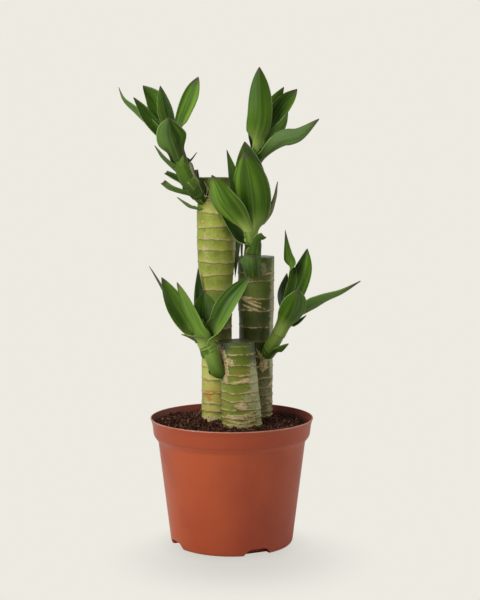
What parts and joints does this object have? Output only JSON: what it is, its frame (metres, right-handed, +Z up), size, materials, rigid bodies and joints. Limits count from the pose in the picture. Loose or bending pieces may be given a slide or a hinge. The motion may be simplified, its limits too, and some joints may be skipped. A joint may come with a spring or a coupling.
{
  "type": "potted lucky bamboo",
  "caption": "Lucky bamboo in a plastic nursery pot: upright ringed canes cut flat at the top, with leafy side shoots, planted in dark soil.",
  "frame": {"origin": "centre of the pot's underside, on the surface that the pot stands on", "axes": "+Z up along the pot's axis; -Y towards the front, from where the picture looks; +X to the right"},
  "size_m": [0.1765, 0.12, 0.349],
  "materials": {
    "pot_plastic": "satin",
    "soil": "matte",
    "cane_light": "satin",
    "cane_dark": "satin",
    "leaf": "satin"
  },
  "bodies": {
    "root": {"pot": "pot_plastic", "soil": "soil", "cane_tall": "cane_light", "cane_middle": "cane_dark", "cane_front": "cane_light", "shoot_tall_left": "leaf", "shoot_tall_right": "leaf", "shoot_middle_top": "leaf", "shoot_middle_low": "leaf", "shoot_front_left": "leaf"}
  },
  "joints": []
}
